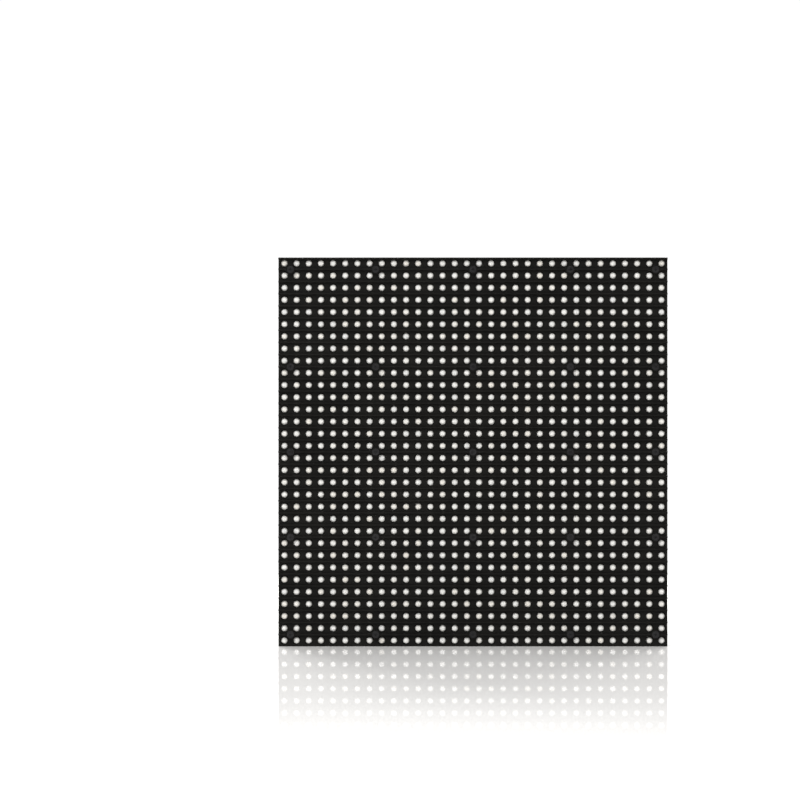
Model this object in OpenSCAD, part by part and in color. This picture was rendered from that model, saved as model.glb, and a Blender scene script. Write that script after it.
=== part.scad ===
/* LED display module: a louvred front mask over a board of round LEDs, a printed circuit board
   with its driver electronics on the back, and a moulded bottom case with threaded inserts.
   X runs to the right of someone who faces the LEDs, Y runs away from them into the depth,
   and Z is up. The origin is at the middle of the bottom edge. */

/* [Display] */
// Distance between neighbouring LEDs
pitch = 6; // [5.5:0.25:8]
// LEDs along each side, an even number
leds_per_side = 32; // [28:2:36]
// Gap left between two modules set side by side
tile_gap = 0.2; // [0.1:0.05:0.6]
// Diameter of an LED's lens
lens_d = 3; // [2:0.1:3.6]
// Height of an LED above the board
led_h = 3; // [2.4:0.1:3.6]
// Height of the domed end of the lens
dome_h = 0.7; // [0.4:0.05:0.9]

/* [Mask] */
// Thickness of the mask's plate
mask_t = 1.2; // [1:0.1:2]
// How far the louvre fins stand in front of the plate
fin_h = 1.6; // [0.8:0.1:3]
// Thickness of a fin at the plate
fin_root_t = 1.2; // [0.8:0.05:1.6]
// Thickness of a fin at its tip
fin_tip_t = 0.7; // [0.4:0.05:1.2]
// Gap all round between a lens and its hole
lens_gap = 0.2; // [0.1:0.05:0.4]
// Space between the mask's plate and the board
mask_stand_h = 1.7; // [1.2:0.1:2.4]
// Thickness of the mask's skirt
skirt_t = 0.8; // [0.6:0.05:1]

/* [Screws] */
// Shank diameter of the mask screws
screw_d = 2; // [1.6:0.1:2.4]
// Head diameter of the mask screws
screw_head_d = 3.5; // [3:0.1:3.8]
// Head height of the mask screws
screw_head_h = 1.2; // [0.8:0.1:1.4]
// Length of the shank under the head
screw_l = 8.6; // [7:0.1:9.5]
// Clearance round a screw in the mask and the board
screw_gap = 0.3; // [0.1:0.05:0.4]

/* [Board] */
// Thickness of the printed circuit board
board_t = 1.6; // [1:0.1:2.4]
// Gap between the edge of the board and the lip of the case
board_gap = 0.15; // [0.05:0.05:0.3]

/* [Case] */
// Height of the case behind the board
case_h = 11.5; // [10:0.25:15]
// Height of the full-size flange behind the board
flange_h = 5; // [4:0.25:6.5]
// Thickness of the lip round the board
lip_t = 0.8; // [0.6:0.05:1.2]
// How far the raised rim is set in from the edge
step_w = 1.9; // [1:0.1:3]
// Width of the rim from the outer edge to the windows
rim_w = 18.5; // [17.5:0.25:21]
// Corner radius of the raised rim
rim_r = 2.6; // [1:0.1:4]
// Corner radius of the large opening
window_r = 2.3; // [1:0.1:4]
// Width of a rib at the board
rib_root_w = 4.3; // [3:0.1:6]
// Width of a rib at its back edge
rib_top_w = 2.5; // [1.6:0.1:4]
// How far the ribs stay below the back of the rim
rib_drop = 1.6; // [0.5:0.1:4]
// Diameter of the bosses where ribs cross
boss_d = 6.4; // [5:0.1:8]
// Width of the long pockets in the rim
pocket_w = 7.9; // [6:0.1:9]
// Depth of the long pockets
pocket_depth = 3.5; // [2:0.25:6]
// Distance from the middle of a pocket to the outer edge of the case
pocket_edge = 9.8; // [9:0.1:11]
// Distance from the centre of an insert to the end of a pocket
pocket_end = 15.3; // [10:0.1:20]
// Diameter of the locating posts
post_d = 5.2; // [4:0.1:6]
// How far the locating posts stand behind the rim
post_h = 3; // [1:0.25:5]

/* [Inserts] */
// Outer diameter of a threaded insert
insert_d = 6.4; // [5.6:0.1:7]
// Length of a threaded insert
insert_l = 6; // [4:0.25:7]
// Bore of a threaded insert, the core of an M4 thread
insert_bore_d = 3.3; // [2.5:0.1:4.2]
// Distance from the centre of an insert to the outer edge of the case
insert_edge = 10.4; // [9.8:0.1:11]
// Diameter of the ring recess round an insert
insert_ring_d = 9.8; // [8.5:0.1:11]
// Depth of the ring recess
insert_ring_depth = 1.8; // [0.5:0.1:3]
// Diameter of the flat pad round the ring recess
pad_d = 12.8; // [11:0.1:14]
// Height of the pad above the rim
pad_h = 0.4; // [0.2:0.1:1]

/* [Electronics] */
// Length of an LED driver's body
driver_l = 8.65; // [7:0.05:9]
// Width of an LED driver's body
driver_w = 3.9; // [3.5:0.1:4.4]
// Height of the chip bodies
chip_h = 1.5; // [1:0.05:2]
// Gap under the chip bodies
chip_stand_h = 0.1; // [0.05:0.01:0.2]
// Number of pins along a data header
header_pins = 8; // [6:1:10]
// Distance between the pins of a data header
header_pitch = 2.54; // [2:0.27:2.54]
// Width of a data header's housing
header_w = 8.9; // [8:0.1:10]
// Height of a data header's housing
header_h = 8.7; // [6:0.1:9.2]
// Diameter of the electrolytic capacitor's can
can_d = 6.3; // [4:0.1:6.6]
// Height of the electrolytic capacitor's can
can_h = 5; // [3:0.1:7]

/* [Hidden] */
$fn = 48;

mask_black = "#212121";
case_black = "#1d1d1e";
lens_white = "#f1f1ec";
board_green = "#106e3c";
brass = "#c8a35a";
tin = "#c9c9c6";
chip_black = "#2b2725";
connector_black = "#19191b";
steel = "#5a585a";

// How far a cutting shape runs past the face that it cuts
past = 1;
// How far one solid form reaches into another that it is moulded with
bite = 0.5;

// Outlines
side = leds_per_side * pitch - tile_gap;
half = side / 2;
led_half = leds_per_side / 2;

// Depths, from the tips of the fins to the tips of the posts
plate_y = fin_h;
plate_back_y = plate_y + mask_t;
board_y = plate_back_y + mask_stand_h;
board_back_y = board_y + board_t;
flange_y = board_back_y + flange_h;
rim_y = board_back_y + case_h;
pad_y = rim_y + pad_h;
rib_y = rim_y - rib_drop;
depth = rim_y + max(post_h, pad_h);

// Places of the screws and the ribs, on the lines between LEDs
edge_line = (led_half - 1) * pitch;
col_line = round(led_half / 2) * pitch;
row_line = (round(led_half / 2) - 1) * pitch;
screw_x = [-edge_line, -col_line, 0, col_line, edge_line];
screw_z = [-edge_line, -row_line, 0, row_line, edge_line];

// The case
window_half = half - rim_w;
lip_half = half - lip_t;
board_half = lip_half - board_gap;
rim_half = half - step_w;
insert_at = half - insert_edge;
pocket_at = half - pocket_edge;
pocket_from = pocket_end;
pocket_to = insert_at - pocket_end;
edge_boss_d = screw_d + 2.6;
post_root_d = post_d + 0.6;
post_tip = 1;

// Screws
seat_d = screw_head_d + 2 * 0.2;
screw_boss_d = seat_d + 0.8;
screw_hole_d = screw_d + 2 * screw_gap;
head_y = plate_y - screw_head_h;
pilot_d = screw_d + 0.1;
pilot_depth = 5;

// Electronics: the middle of the windows and how far a part may sit from it
rib_half = rib_root_w / 2;
lead_t = 0.2;
lead_w = 0.25;
fine_pitch = 0.635;
coarse_pitch = 1.27;
driver_pins = 12;
driver_span = driver_w + 2.1;

// Places one part of half size size_half between the walls from and to, at share -1 to 1 of its play
function seat(from, to, size_half, share) = (from + to) / 2 + share * ((to - from) / 2 - size_half);
// Across: the columns between ribs, to the right of the middle
function in_inner_col(size_half, share) = seat(rib_half, col_line - rib_half, size_half, share);
function in_outer_col(size_half, share) = seat(col_line + rib_half, window_half, size_half, share);
// Up: the rows between ribs, above the middle
function in_top_row(size_half, share) = seat(row_line + rib_half, window_half, size_half, share);
function in_mid_row(size_half, share) = seat(rib_half, row_line - rib_half, size_half, share);
function led_at(i) = (i - (leds_per_side - 1) / 2) * pitch;

driver_half_x = driver_span / 2;
driver_half_z = driver_l / 2;
// The six LED drivers of one quarter of the board
driver_places = [
  [in_outer_col(driver_half_x, -0.62), in_top_row(driver_half_z, 0.79)],
  [in_inner_col(driver_half_x, 0.52), in_top_row(driver_half_z, 0.33)],
  [in_outer_col(driver_half_x, 0.30), in_top_row(driver_half_z, -0.64)],
  [in_outer_col(driver_half_x, 0.30), in_mid_row(driver_half_z, 0.90)],
  [in_inner_col(driver_half_x, 0.52), in_mid_row(driver_half_z, 0.48)],
  [in_outer_col(driver_half_x, 0.30), in_mid_row(driver_half_z, -0.11)]
];

// Data headers
header_row = 2.54;
header_l = (header_pins - 1) * header_pitch + 10.1;
header_floor = 2.2;
header_wall = 1.2;
header_stand_h = 0.4;
header_pin_w = 0.64;
header_foot_x = 5.9;
header_x = in_outer_col(header_foot_x, -0.08);
header_key_w = 4.5;

// Power header
power_pitch = 3.96;
power_n = 4;
power_l = (power_n - 1) * power_pitch + 4;
power_w = 8.5;
power_floor = 3.2;
power_wall = 1.4;
power_h = 9.2;
power_pin_w = 1.14;
power_foot_x = 6;
power_foot_w = 0.8;
power_x = -in_inner_col(power_foot_x, -0.62);
power_z = in_mid_row(power_l / 2, 0.2);

// Row switches, buffers and decoder
so_w = 3.9;
so_span = 6;
switch_l = 4.9;
switch_half_x = switch_l / 2;
switch_half_z = so_span / 2;
switch_x = in_inner_col(switch_half_x, -0.92);
switch_z = [in_top_row(switch_half_z, 0.87), in_top_row(switch_half_z, 0.02)];
buffer_l = 6.5;
buffer_w = 4.4;
buffer_x = in_inner_col(driver_half_x, -0.15);
buffer_z = in_mid_row(buffer_l / 2, -0.66);
decoder_l = 9.9;
decoder_x = -in_inner_col(driver_half_x, -0.45);
decoder_z = -in_mid_row(decoder_l / 2, -0.62);

// Electrolytic capacitor
can_base_w = can_d + 0.3;
can_base_h = 1.2;
can_lead_l = 1.5;
can_half_x = can_base_w / 2 + can_lead_l;
can_x = in_inner_col(can_half_x, -0.54);
can_z = in_top_row(can_base_w / 2, 0.29);

// Small parts: sizes along, across and above the board
chip_cap = [2, 1.25, 0.9];
chip_res = [2, 1.25, 0.55];
chip_end = 0.4;
array_size = [3.2, 1.6, 0.6];
diode_l = 3.4;
diode_d = 1.4;
diode_cap_d = 1.6;
diode_cap_l = 0.5;
beside_driver = driver_half_x + 1.9;

// The diodes between the row switches and the left upper driver
diode_places = [
  [-in_inner_col(diode_l / 2, -0.32), in_top_row(diode_cap_d / 2, 0.92)],
  [-in_inner_col(diode_l / 2, 0.14), in_top_row(diode_cap_d / 2, 0.92)],
  [-in_inner_col(diode_l / 2, 0.69), in_top_row(diode_cap_d / 2, 0.92)],
  [-in_inner_col(diode_l / 2, -0.32), in_top_row(diode_cap_d / 2, 0.72)],
  [-in_inner_col(diode_l / 2, -0.20), in_top_row(diode_cap_d / 2, 0.50)],
  [-in_inner_col(diode_l / 2, -0.20), in_top_row(diode_cap_d / 2, 0.20)],
  [-in_inner_col(diode_l / 2, -0.20), in_top_row(diode_cap_d / 2, -0.20)],
  [-in_inner_col(diode_l / 2, -0.66), in_top_row(diode_cap_d / 2, 0.26)]
];

// From the module's middle, with depth counted from the fins, to the part's own origin
module placed() {
  translate([0, -depth / 2, half]) children();
}

// A round rod along Y
module rod(y0, y1, d) {
  translate([0, y1, 0]) rotate([90, 0, 0]) cylinder(h = y1 - y0, d = d);
}

// A block along Y with its middle at the axis
module block(y0, y1, w, h) {
  translate([-w / 2, y0, -h / 2]) cube([w, y1 - y0, h]);
}

// A bar along X whose section is drawn in Y and Z
module bar_x(x0, x1) {
  translate([x0, 0, 0]) rotate([90, 0, 90]) linear_extrude(x1 - x0) children();
}

// A square block along Y with rounded corners
module rounded_block(y0, y1, w, r) {
  difference() {
    block(y0, y1, w, w);
    for (sx = [-1, 1], sz = [-1, 1])
      translate([sx * (w / 2 - r), 0, sz * (w / 2 - r)])
        difference() {
          block(y0 - past, y1 + past, 2 * r + past, 2 * r + past);
          rod(y0 - past, y1 + past, 2 * r);
          translate([-sx * (r + past), 0, 0]) block(y0 - past, y1 + past, 2 * (r + past), 4 * r);
          translate([0, 0, -sz * (r + past)]) block(y0 - past, y1 + past, 4 * r, 2 * (r + past));
        }
  }
}

module at_screws() {
  for (x = screw_x, z = screw_z)
    translate([x, 0, z]) children();
}

module at_inserts() {
  for (x = [-1, 0, 1], z = [-1, 0, 1])
    if (x != 0 || z != 0)
      translate([x * insert_at, 0, z * insert_at]) children();
}

/* ---- Front ---- */

// One louvre fin in section, with its root in the plate
module fin_section() {
  polygon([
    [0, -fin_tip_t / 2], [fin_h, -fin_root_t / 2], [fin_h + mask_t / 2, -fin_root_t / 2],
    [fin_h + mask_t / 2, fin_root_t / 2], [fin_h, fin_root_t / 2], [0, fin_tip_t / 2]
  ]);
}

module mask() {
  color(mask_black) placed() difference() {
    union() {
      block(plate_y, plate_back_y, side, side);
      difference() {
        block(plate_back_y - bite, board_y, side, side);
        block(plate_back_y - past, board_y + past, side - 2 * skirt_t, side - 2 * skirt_t);
      }
      for (line = [1 : leds_per_side - 1])
        translate([0, 0, (line - led_half) * pitch]) bar_x(-half, half) fin_section();
      translate([0, 0, half - fin_root_t / 2]) bar_x(-half, half) fin_section();
      at_screws() rod(0, board_y, screw_boss_d);
    }
    for (row = [0 : leds_per_side - 1])
      for (col = [0 : leds_per_side - 1])
        translate([led_at(col), 0, led_at(row)])
          rod(plate_y - past / 4, plate_back_y + past / 4, lens_d + 2 * lens_gap);
    at_screws() {
      rod(-past, plate_y, seat_d);
      rod(0, board_y + past, screw_hole_d);
    }
  }
}

module mask_screw() {
  difference() {
    union() {
      rod(head_y, plate_y, screw_head_d);
      rod(plate_y - bite, plate_y + screw_l - screw_d, screw_d);
      translate([0, plate_y + screw_l, 0]) rotate([90, 0, 0])
        cylinder(h = screw_d, d1 = screw_d * 0.2, d2 = screw_d);
    }
    for (turn = [0, 90])
      rotate([0, turn, 0]) block(head_y - past, head_y + 0.8, screw_head_d * 0.55, 0.5);
  }
}

module mask_screws() {
  color(steel) placed() at_screws() mask_screw();
}

// One LED: a round lens with a domed end, standing on the board
module led() {
  dome_r = (lens_d * lens_d / 4 + dome_h * dome_h) / (2 * dome_h);
  intersection() {
    rod(board_y - led_h - past, board_y, lens_d);
    translate([0, board_y - led_h + dome_r, 0]) sphere(r = dome_r);
  }
}

// The LEDs of one quarter: columns from col0 and rows from row0
module led_quarter(col0, row0) {
  color(lens_white) placed()
    for (row = [row0 : row0 + led_half - 1])
      for (col = [col0 : col0 + led_half - 1])
        translate([led_at(col), 0, led_at(row)]) led();
}

module circuit_board() {
  color(board_green) placed() difference() {
    block(board_y, board_back_y, 2 * board_half, 2 * board_half);
    at_screws() rod(board_y - past, board_back_y + past, screw_hole_d);
  }
}

/* ---- Case ---- */

// A rib along X, with its back edge narrower than its root
module rib_section() {
  polygon([
    [board_back_y, -rib_root_w / 2], [rib_y, -rib_top_w / 2],
    [rib_y, rib_top_w / 2], [board_back_y, rib_root_w / 2]
  ]);
}

module rib_x(x0, x1, z) {
  translate([0, 0, z]) bar_x(x0, x1) rib_section();
}

module rib_z(x) {
  translate([x, 0, 0]) rotate([0, 90, 0]) bar_x(-window_half - bite, window_half + bite) rib_section();
}

// A long pocket with round ends, along X
module pocket(x0, x1, w, y0, y1) {
  r = w / 2;
  translate([(x0 + x1) / 2, 0, 0]) block(y0, y1, x1 - x0 - w, w);
  for (x = [x0 + r, x1 - r])
    translate([x, 0, 0]) rod(y0, y1, w);
}

// The pockets of the top rim, with the screw bosses left standing in them
module top_pockets(line) {
  for (way = [0, 1])
    mirror([way, 0, 0]) difference() {
      translate([0, 0, pocket_at]) pocket(pocket_from, pocket_to, pocket_w, rim_y - pocket_depth, pad_y + past);
      translate([line, 0, edge_line]) rod(rim_y - pocket_depth - past, pad_y + 2 * past, edge_boss_d);
    }
}

module rib_grid() {
  for (x = [-col_line, 0, col_line])
    rib_z(x);
  for (z = [-row_line, row_line])
    rib_x(-window_half - bite, window_half + bite, z);
  rib_x(-col_line, col_line, 0);
  // The ribs of the outer columns carry a trough, so they are as wide at the back
  for (way = [-1, 1], z = [-row_line, row_line])
    translate([way * (col_line + window_half + bite) / 2, 0, z])
      block(board_back_y, rib_y, window_half + bite - col_line, rib_root_w);
  for (x = [-col_line, 0, col_line], z = [-row_line, 0, row_line])
    translate([x, 0, z]) rod(board_back_y, rib_y, boss_d);
}

// The trough in an outer rib, and the slots where the middle ribs meet the rim
module rib_cuts() {
  trough_w = rib_root_w - 1.7;
  trough_from = col_line + boss_d / 2 + 0.6;
  for (turn = [0, 1], z = [-row_line, row_line])
    mirror([turn, 0, 0]) translate([0, 0, z])
      pocket(trough_from, window_half - 1, trough_w, rib_y - 5, rib_y + past);
  slot_w = rib_top_w - 1;
  slot_l = 7.5;
  for (x = [-col_line, 0, col_line], way = [-1, 1])
    translate([x, 0, way * (window_half - 1.4 - slot_l / 2)])
      block(board_back_y - past, rib_y + past, slot_w, slot_l);
}

// A post that stands in a pocket, on a slightly wider root, and ends in a cone
module locating_post() {
  tip_y = rim_y + post_h;
  rod(rim_y - pocket_depth - bite, rim_y, post_root_d);
  rod(rim_y - bite, tip_y - post_tip, post_d);
  translate([0, tip_y, 0]) rotate([90, 0, 0])
    cylinder(h = post_tip, d1 = post_d - 2 * post_tip, d2 = post_d);
}

module bottom_case() {
  post_x = pocket_at - pocket_w / 2 + 0.3 + post_root_d / 2;
  post_z = pocket_from + post_root_d / 2 + 7;
  color(case_black) placed() difference() {
    union() {
      difference() {
        union() {
          block(board_y, flange_y, side, side);
          rounded_block(flange_y - bite, rim_y, 2 * rim_half, rim_r);
          at_inserts() rod(rim_y - bite, pad_y, pad_d);
        }
        rounded_block(board_y - past, pad_y + past, 2 * window_half, window_r);
        for (turn = [0, 180])
          rotate([0, turn, 0]) top_pockets(col_line);
        for (turn = [90, 270])
          rotate([0, turn, 0]) top_pockets(row_line);
      }
      rib_grid();
      for (turn = [0, 180])
        rotate([0, turn, 0]) translate([post_x, 0, post_z]) locating_post();
    }
    block(board_y - past, board_back_y, 2 * lip_half, 2 * lip_half);
    rib_cuts();
    at_screws() rod(board_back_y - past, board_back_y + pilot_depth, pilot_d);
    at_inserts() {
      rod(rim_y - insert_ring_depth, pad_y + past, insert_ring_d);
      rod(pad_y - insert_l, pad_y + past, insert_d + 0.05);
    }
    for (x = [-col_line, 0, col_line], z = [-row_line, 0, row_line])
      translate([x, 0, z]) rod(rib_y - 0.8, rib_y + past, 1.8);
  }
}

module threaded_insert() {
  groove_w = 1;
  groove_y = pad_y - insert_l * 0.45;
  difference() {
    rod(pad_y - insert_l, pad_y, insert_d);
    difference() {
      rod(groove_y - groove_w, groove_y, insert_d + past);
      rod(groove_y - groove_w - past, groove_y + past, insert_d - 0.8);
    }
    rod(pad_y - insert_l - past, pad_y + past, insert_bore_d);
    translate([0, pad_y + 0.01, 0]) rotate([90, 0, 0])
      cylinder(h = 0.5, d1 = insert_bore_d + 1, d2 = insert_bore_d);
  }
}

module threaded_inserts() {
  color(brass) placed() at_inserts() threaded_insert();
}

/* ---- Electronics on the back of the board ---- */

// A chip's moulded body, with its length along Z and the dimple that marks pin 1
module chip_body(l, w) {
  y0 = board_back_y + chip_stand_h;
  difference() {
    block(y0, y0 + chip_h, w, l);
    translate([w / 2 - 0.8, 0, l / 2 - 0.8]) rod(y0 + chip_h - 0.1, y0 + chip_h + past, 0.7);
  }
}

// One gull-wing lead, from the side of the body down to its foot on the board
module chip_lead(w, span, lead_width) {
  mid_y = board_back_y + chip_stand_h + chip_h / 2;
  knee = w / 2 + (span - w) * 0.28;
  translate([0, 0, -lead_width / 2]) linear_extrude(lead_width) polygon([
    [w / 2, mid_y + lead_t], [w / 2, mid_y - lead_t / 2], [knee, board_back_y],
    [span / 2, board_back_y], [span / 2, board_back_y + lead_t], [knee + lead_t, board_back_y + lead_t]
  ]);
}

module chip_leads(n, gap, w, span, lead_width) {
  for (k = [0 : n - 1], way = [0, 1])
    mirror([way, 0, 0]) translate([0, 0, (k - (n - 1) / 2) * gap]) chip_lead(w, span, lead_width);
}

module at_drivers() {
  for (place = driver_places, sx = [-1, 1], sz = [-1, 1])
    translate([sx * place[0], 0, sz * place[1]]) children();
}

module led_drivers() {
  color(chip_black) placed() at_drivers() chip_body(driver_l, driver_w);
}

module led_driver_leads() {
  color(tin) placed() at_drivers()
    chip_leads(driver_pins, fine_pitch, driver_w, driver_span, lead_w);
}

module at_switches() {
  for (sx = [-1, 1], z = switch_z)
    translate([sx * switch_x, 0, z]) rotate([0, 90, 0]) children();
}

module row_switches() {
  color(chip_black) placed() at_switches() chip_body(switch_l, so_w);
}

module row_switch_leads() {
  color(tin) placed() at_switches() chip_leads(4, coarse_pitch, so_w, so_span, 0.42);
}

module at_buffers() {
  for (sz = [-1, 1])
    translate([buffer_x, 0, sz * buffer_z]) children();
}

module signal_buffers() {
  color(chip_black) placed() at_buffers() chip_body(buffer_l, buffer_w);
}

module signal_buffer_leads() {
  color(tin) placed() at_buffers() chip_leads(10, fine_pitch, buffer_w, 6.4, lead_w);
}

module row_decoder() {
  color(chip_black) placed() translate([decoder_x, 0, decoder_z]) chip_body(decoder_l, so_w);
}

module row_decoder_leads() {
  color(tin) placed() translate([decoder_x, 0, decoder_z])
    chip_leads(8, coarse_pitch, so_w, so_span, 0.42);
}

module at_header_pins() {
  for (k = [0 : header_pins - 1])
    translate([0, 0, (k - (header_pins - 1) / 2) * header_pitch]) children();
}

// The housing of a data header: a box with a key slot in one long wall
module data_header() {
  y0 = board_back_y + header_stand_h;
  top_y = board_back_y + header_h;
  difference() {
    union() {
      block(y0, top_y, header_w, header_l);
      for (sz = [-1, 1])
        translate([0, 0, sz * (header_l / 2 - 1)]) block(board_back_y, y0 + bite, header_w - 2, 1.4);
    }
    block(y0 + header_floor, top_y + past, header_w - 2 * header_wall, header_l - 2 * header_wall);
    translate([header_w / 2, 0, 0]) block(y0 + header_floor, top_y + past, 4 * header_wall, header_key_w);
    at_header_pins() for (sx = [-1, 1])
      translate([sx * header_row / 2, 0, 0])
        block(y0 - past, y0 + header_floor + past, header_pin_w + 0.04, header_pin_w + 0.04);
  }
}

// The pins of a data header, each bent out to a foot on the board
module data_pins() {
  tip_y = board_back_y + header_h - 1.6;
  at_header_pins() for (way = [0, 1])
    mirror([way, 0, 0]) union() {
      translate([header_row / 2, 0, 0]) block(board_back_y, tip_y, header_pin_w, header_pin_w);
      translate([header_row / 2, board_back_y, -header_pin_w / 2])
        cube([header_foot_x - header_row / 2, 0.3, header_pin_w]);
    }
}

module data_in_header() {
  color(connector_black) placed() translate([header_x, 0, 0]) data_header();
}

module data_in_pins() {
  color(tin) placed() translate([header_x, 0, 0]) data_pins();
}

module data_out_header() {
  color(connector_black) placed() translate([-header_x, 0, 0]) data_header();
}

module data_out_pins() {
  color(tin) placed() translate([-header_x, 0, 0]) data_pins();
}

module at_power_pins() {
  for (k = [0 : power_n - 1])
    translate([0, 0, (k - (power_n - 1) / 2) * power_pitch]) children();
}

// The power header: a base with one tall locking wall
module power_header() {
  y0 = board_back_y + header_stand_h;
  color(connector_black) placed() translate([power_x, 0, power_z]) difference() {
    union() {
      block(y0, y0 + power_floor, power_w, power_l);
      translate([power_w / 2 - power_wall / 2, 0, 0])
        block(y0, board_back_y + power_h, power_wall, power_l);
      for (sz = [-1, 1])
        translate([0, 0, sz * (power_l / 2 - power_foot_w / 2)])
          block(board_back_y, y0 + bite, power_w - 2, power_foot_w);
    }
    at_power_pins() block(y0 - past, y0 + power_floor + past, power_pin_w + 0.04, power_pin_w + 0.04);
    for (sz = [-1, 1])
      translate([power_w / 2, 0, sz * power_pitch])
        block(board_back_y + power_h - 3, board_back_y + power_h + past, 4 * power_wall, 1.6);
  }
}

module power_pins() {
  color(tin) placed() translate([power_x, 0, power_z]) at_power_pins() union() {
    block(board_back_y, board_back_y + power_h - 0.8, power_pin_w, power_pin_w);
    translate([-power_foot_x, board_back_y, -power_pin_w / 2]) cube([2 * power_foot_x, 0.3, power_pin_w]);
  }
}

module at_capacitor() {
  translate([can_x, 0, can_z]) children();
}

// The base of the electrolytic capacitor, with the two corners cut that mark its plus side
module capacitor_base() {
  color(connector_black) placed() at_capacitor() difference() {
    block(board_back_y, board_back_y + can_base_h, can_base_w, can_base_w);
    for (sz = [-1, 1])
      translate([-can_base_w / 2, 0, sz * can_base_w / 2]) rotate([0, 45, 0])
        block(board_back_y - past, board_back_y + can_base_h + past, 1.8, 1.8);
    for (sx = [-1, 1])
      translate([sx * can_base_w / 2, 0, 0]) block(board_back_y - past, board_back_y + 0.35, 3, 1);
  }
}

// The can, with the groove that seals it above the base
module capacitor_can() {
  y0 = board_back_y + can_base_h;
  color(tin) placed() at_capacitor() difference() {
    rod(y0, y0 + can_h, can_d);
    difference() {
      rod(y0 + 0.7, y0 + 1.2, can_d + past);
      rod(y0 + 0.5, y0 + 1.5, can_d - 0.6);
    }
  }
}

module capacitor_leads() {
  color(tin) placed() at_capacitor() for (sx = [-1, 1])
    translate([sx * (can_half_x - 1.35), 0, 0]) block(board_back_y, board_back_y + 0.3, 2.7, 0.9);
}

module at_diodes() {
  for (place = diode_places)
    translate([place[0], board_back_y + diode_cap_d / 2, place[1]]) children();
}

module diode_bodies() {
  body_l = diode_l - 2 * diode_cap_l;
  color("#7d2f2b") placed() at_diodes() rotate([0, 90, 0])
    translate([0, 0, -body_l / 2]) cylinder(h = body_l, d = diode_d);
}

module diode_caps() {
  color(tin) placed() at_diodes() for (way = [0, 1])
    mirror([way, 0, 0]) translate([diode_l / 2 - diode_cap_l, 0, 0]) rotate([0, 90, 0])
      cylinder(h = diode_cap_l, d = diode_cap_d);
}

// A small part's middle or its two ends, with its length along Z
module small_body(size) {
  block(board_back_y, board_back_y + size[2], size[1], size[0] - 2 * chip_end);
}

module small_ends(size) {
  for (sz = [-1, 1])
    translate([0, 0, sz * (size[0] - chip_end) / 2])
      block(board_back_y, board_back_y + size[2], size[1], chip_end);
}

// A capacitor and a resistor stand on the outer side of every driver
module at_chip_capacitors() {
  for (place = driver_places, sx = [-1, 1], sz = [-1, 1])
    translate([sx * (place[0] + beside_driver), 0, sz * place[1] + 2.1]) children();
}

module at_chip_resistors() {
  for (place = driver_places, sx = [-1, 1], sz = [-1, 1])
    translate([sx * (place[0] + beside_driver), 0, sz * place[1] - 2.1]) children();
}

module at_arrays() {
  for (place = [driver_places[3], driver_places[5]], sx = [-1, 1], sz = [-1, 1])
    translate([sx * (place[0] - beside_driver - 0.3), 0, sz * place[1]]) children();
}

module chip_capacitors() {
  color("#8a7a63") placed() at_chip_capacitors() small_body(chip_cap);
}

module chip_resistors() {
  color("#232323") placed() at_chip_resistors() small_body(chip_res);
}

module chip_terminals() {
  color(tin) placed() {
    at_chip_capacitors() small_ends(chip_cap);
    at_chip_resistors() small_ends(chip_res);
  }
}

module resistor_arrays() {
  color("#232323") placed() at_arrays()
    block(board_back_y, board_back_y + array_size[2], array_size[1] - 2 * chip_end, array_size[0]);
}

module resistor_array_terminals() {
  gap = 0.8;
  color(tin) placed() at_arrays() for (k = [0 : 3], sx = [-1, 1])
    translate([sx * (array_size[1] - chip_end) / 2, 0, (k - 1.5) * gap])
      block(board_back_y, board_back_y + array_size[2], chip_end, gap / 2);
}

mask();
mask_screws();
led_quarter(0, led_half);  // leds_top_left
led_quarter(led_half, led_half);  // leds_top_right
led_quarter(0, 0);  // leds_bottom_left
led_quarter(led_half, 0);  // leds_bottom_right
circuit_board();
bottom_case();
threaded_inserts();
led_drivers();
led_driver_leads();
row_switches();
row_switch_leads();
signal_buffers();
signal_buffer_leads();
row_decoder();
row_decoder_leads();
data_in_header();
data_in_pins();
data_out_header();
data_out_pins();
power_header();
power_pins();
capacitor_can();
capacitor_base();
capacitor_leads();
diode_bodies();
diode_caps();
chip_capacitors();
chip_resistors();
chip_terminals();
resistor_arrays();
resistor_array_terminals();
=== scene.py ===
"""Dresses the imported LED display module: lenses, tracks, print, solder, threads, finishes and stage.

Everything is in metres in the frame's own axes: X to the right of someone who faces the LEDs,
Y away from them towards the inserts, Z up.
"""
import math
import random

import bmesh
import bpy
import numpy as np
from bpy.props import FloatProperty, FloatVectorProperty, IntProperty, PointerProperty
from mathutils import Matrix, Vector


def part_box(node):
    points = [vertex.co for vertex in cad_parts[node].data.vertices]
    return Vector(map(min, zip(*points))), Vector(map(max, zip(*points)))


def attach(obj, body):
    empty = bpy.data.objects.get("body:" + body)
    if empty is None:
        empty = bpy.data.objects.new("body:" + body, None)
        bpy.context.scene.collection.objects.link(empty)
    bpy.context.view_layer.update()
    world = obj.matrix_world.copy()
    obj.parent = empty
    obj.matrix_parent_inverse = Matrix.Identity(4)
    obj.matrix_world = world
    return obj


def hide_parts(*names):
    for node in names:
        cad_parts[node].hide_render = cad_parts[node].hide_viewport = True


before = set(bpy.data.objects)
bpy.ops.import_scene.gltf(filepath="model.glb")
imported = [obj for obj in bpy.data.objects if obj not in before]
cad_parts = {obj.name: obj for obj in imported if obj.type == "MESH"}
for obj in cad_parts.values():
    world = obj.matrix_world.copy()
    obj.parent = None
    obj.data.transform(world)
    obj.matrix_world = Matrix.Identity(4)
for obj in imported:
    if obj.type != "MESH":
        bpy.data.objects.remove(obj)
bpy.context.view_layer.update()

bl_info = {
    "name": "LED Display Module",
    "version": (1, 0, 0),
    "blender": (4, 5, 0),
    "location": "3D View > Sidebar > LED Module",
    "description": "Builds the visible detail and finishes of an LED display module",
    "category": "Object",
}

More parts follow.
